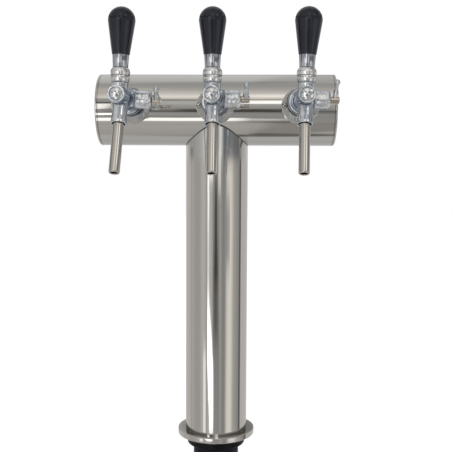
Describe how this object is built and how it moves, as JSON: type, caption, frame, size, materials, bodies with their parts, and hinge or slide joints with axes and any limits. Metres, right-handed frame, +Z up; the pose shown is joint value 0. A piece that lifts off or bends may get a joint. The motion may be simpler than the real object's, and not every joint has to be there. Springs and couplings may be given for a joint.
{
  "type": "beer tower dispenser",
  "caption": "Counter-mounted beer tower: a steel column with a cross drum carries a row of flow-control taps with tilting handles, clamped through the counter from below.",
  "frame": {"origin": "centre of the base flange's underside, which rests on the counter", "axes": "+Z up along the column, +X along the drum to the right as the user sees it, and the taps face -Y, towards the user"},
  "size_m": [0.286, 0.2028, 0.5906],
  "materials": {
    "steel": "polished stainless steel",
    "chrome": "bright chrome on cast and turned metal",
    "cast_chrome": "chrome over a rough cast surface",
    "spout_steel": "polished stainless steel",
    "warm_steel": "turned steel, satin",
    "screw_steel": "bright screw steel",
    "line_steel": "drawn stainless tube",
    "brass_nut": "turned brass",
    "knob_plastic": "glossy black, faintly blue",
    "thread_black": "satin blue-black",
    "nut_plastic": "satin black",
    "gasket": "black rubber",
    "inner_plastic": "dark grey plastic",
    "foam": "cast insulating foam"
  },
  "bodies": {
    "tower": {"column_tube": "steel", "drum_tube": "steel", "end_cap_left": "steel", "end_cap_right": "steel", "base_flange": "steel", "clamp_stub": "thread_black", "tap_bosses": "steel", "boss_screws": "screw_steel", "shank_nuts": "brass_nut", "saddle_washers": "screw_steel", "beer_line_left": "line_steel", "beer_line_centre": "line_steel", "beer_line_right": "line_steel", "cooling_line": "line_steel", "foam_core": "foam", "shank_left": "chrome", "tap_body_left": "chrome", "front_cap_left": "chrome", "bonnet_left": "chrome", "spout_left": "spout_steel", "gland_cap_left": "cast_chrome", "shank_centre": "chrome", "tap_body_centre": "chrome", "front_cap_centre": "chrome", "bonnet_centre": "chrome", "spout_centre": "spout_steel", "gland_cap_centre": "cast_chrome", "shank_right": "chrome", "tap_body_right": "chrome", "front_cap_right": "chrome", "bonnet_right": "chrome", "spout_right": "spout_steel", "gland_cap_right": "cast_chrome"},
    "clamp": {"clamp_washer": "gasket", "clamp_nut": "nut_plastic"},
    "handle_left": {"stem_left": "warm_steel", "skirt_left": "chrome", "ferrule_left": "chrome", "knob_left": "knob_plastic"},
    "piston_left": {"piston_left": "warm_steel"},
    "flow_left": {"flow_shaft_left": "warm_steel", "flow_lever_left": "chrome"},
    "compensator_left": {"compensator_left": "inner_plastic"},
    "handle_centre": {"stem_centre": "warm_steel", "skirt_centre": "chrome", "ferrule_centre": "chrome", "knob_centre": "knob_plastic"},
    "piston_centre": {"piston_centre": "warm_steel"},
    "flow_centre": {"flow_shaft_centre": "warm_steel", "flow_lever_centre": "chrome"},
    "compensator_centre": {"compensator_centre": "inner_plastic"},
    "handle_right": {"stem_right": "warm_steel", "skirt_right": "chrome", "ferrule_right": "chrome", "knob_right": "knob_plastic"},
    "piston_right": {"piston_right": "warm_steel"},
    "flow_right": {"flow_shaft_right": "warm_steel", "flow_lever_right": "chrome"},
    "compensator_right": {"compensator_right": "inner_plastic"}
  },
  "joints": [
    {"name": "clamp_slide", "type": "slide", "parent": "tower", "child": "clamp", "axis": [0, 0, 1], "range_m": [-0.05, 0]},
    {"name": "handle_left_tilt", "type": "hinge", "parent": "tower", "child": "handle_left", "pos_m": [-0.0979, -0.1277, 0.42549], "axis": [0.9995, 0, -0.0332], "range_deg": [0, 20]},
    {"name": "piston_left_slide", "type": "slide", "parent": "tower", "child": "piston_left", "axis": [0, 1, 0], "range_m": [0, 0.0052]},
    {"name": "flow_left_turn", "type": "hinge", "parent": "tower", "child": "flow_left", "pos_m": [-0.0985, -0.0927, 0.4075], "axis": [0.9995, 0, -0.0332], "range_deg": [-75, 15]},
    {"name": "compensator_left_slide", "type": "slide", "parent": "tower", "child": "compensator_left", "axis": [0, -1, 0], "range_m": [-0.00426, 0.00087]},
    {"name": "handle_centre_tilt", "type": "hinge", "parent": "tower", "child": "handle_centre", "pos_m": [0, -0.1277, 0.4255], "axis": [1, 0, 0], "range_deg": [0, 20]},
    {"name": "piston_centre_slide", "type": "slide", "parent": "tower", "child": "piston_centre", "axis": [0, 1, 0], "range_m": [0, 0.0052]},
    {"name": "flow_centre_turn", "type": "hinge", "parent": "tower", "child": "flow_centre", "pos_m": [0, -0.0927, 0.4075], "axis": [1, 0, 0], "range_deg": [-60, 30]},
    {"name": "compensator_centre_slide", "type": "slide", "parent": "tower", "child": "compensator_centre", "axis": [0, -1, 0], "range_m": [-0.00341, 0.00172]},
    {"name": "handle_right_tilt", "type": "hinge", "parent": "tower", "child": "handle_right", "pos_m": [0.09903, -0.1277, 0.42549], "axis": [0.9996, 0, -0.0297], "range_deg": [0, 20]},
    {"name": "piston_right_slide", "type": "slide", "parent": "tower", "child": "piston_right", "axis": [0, 1, 0], "range_m": [0, 0.0052]},
    {"name": "flow_right_turn", "type": "hinge", "parent": "tower", "child": "flow_right", "pos_m": [0.0985, -0.0927, 0.4075], "axis": [0.9996, 0, -0.0297], "range_deg": [-25, 65]},
    {"name": "compensator_right_slide", "type": "slide", "parent": "tower", "child": "compensator_right", "axis": [0, -1, 0], "range_m": [-0.00143, 0.0037]}
  ],
  "couplings": [
    {"joint": "piston_left_slide", "follows": "handle_left_tilt", "m_per_rad": 0.0147},
    {"joint": "compensator_left_slide", "follows": "flow_left_turn", "m_per_rad": 0.0032411},
    {"joint": "piston_centre_slide", "follows": "handle_centre_tilt", "m_per_rad": 0.0147},
    {"joint": "compensator_centre_slide", "follows": "flow_centre_turn", "m_per_rad": 0.0032411},
    {"joint": "piston_right_slide", "follows": "handle_right_tilt", "m_per_rad": 0.0147},
    {"joint": "compensator_right_slide", "follows": "flow_right_turn", "m_per_rad": 0.0032411}
  ]
}
